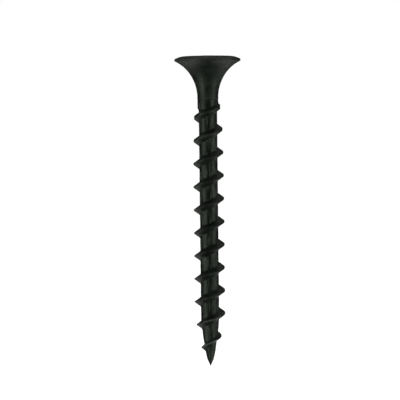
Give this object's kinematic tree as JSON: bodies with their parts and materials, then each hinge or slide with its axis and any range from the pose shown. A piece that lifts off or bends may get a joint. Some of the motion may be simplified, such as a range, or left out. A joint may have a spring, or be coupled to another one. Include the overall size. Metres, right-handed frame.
{
  "type": "wood screw",
  "caption": "Black bugle-head wood screw with a cross recess, a short plain neck, a coarse right-hand thread and a sharp point.",
  "frame": {"origin": "centre of the head's flat top, which is the plane of the face that the screw is driven flush with", "axes": "+Z along the screw's axis, out of the head; the tip is on the axis at Z = -38 mm; the recess's wings lie along X and Y"},
  "size_m": [0.008, 0.008, 0.038],
  "materials": {
    "black_phosphate_steel": "black phosphate on hardened steel, matte to satin, slightly greenish charcoal"
  },
  "bodies": {
    "root": {"screw": "black_phosphate_steel"}
  },
  "joints": []
}
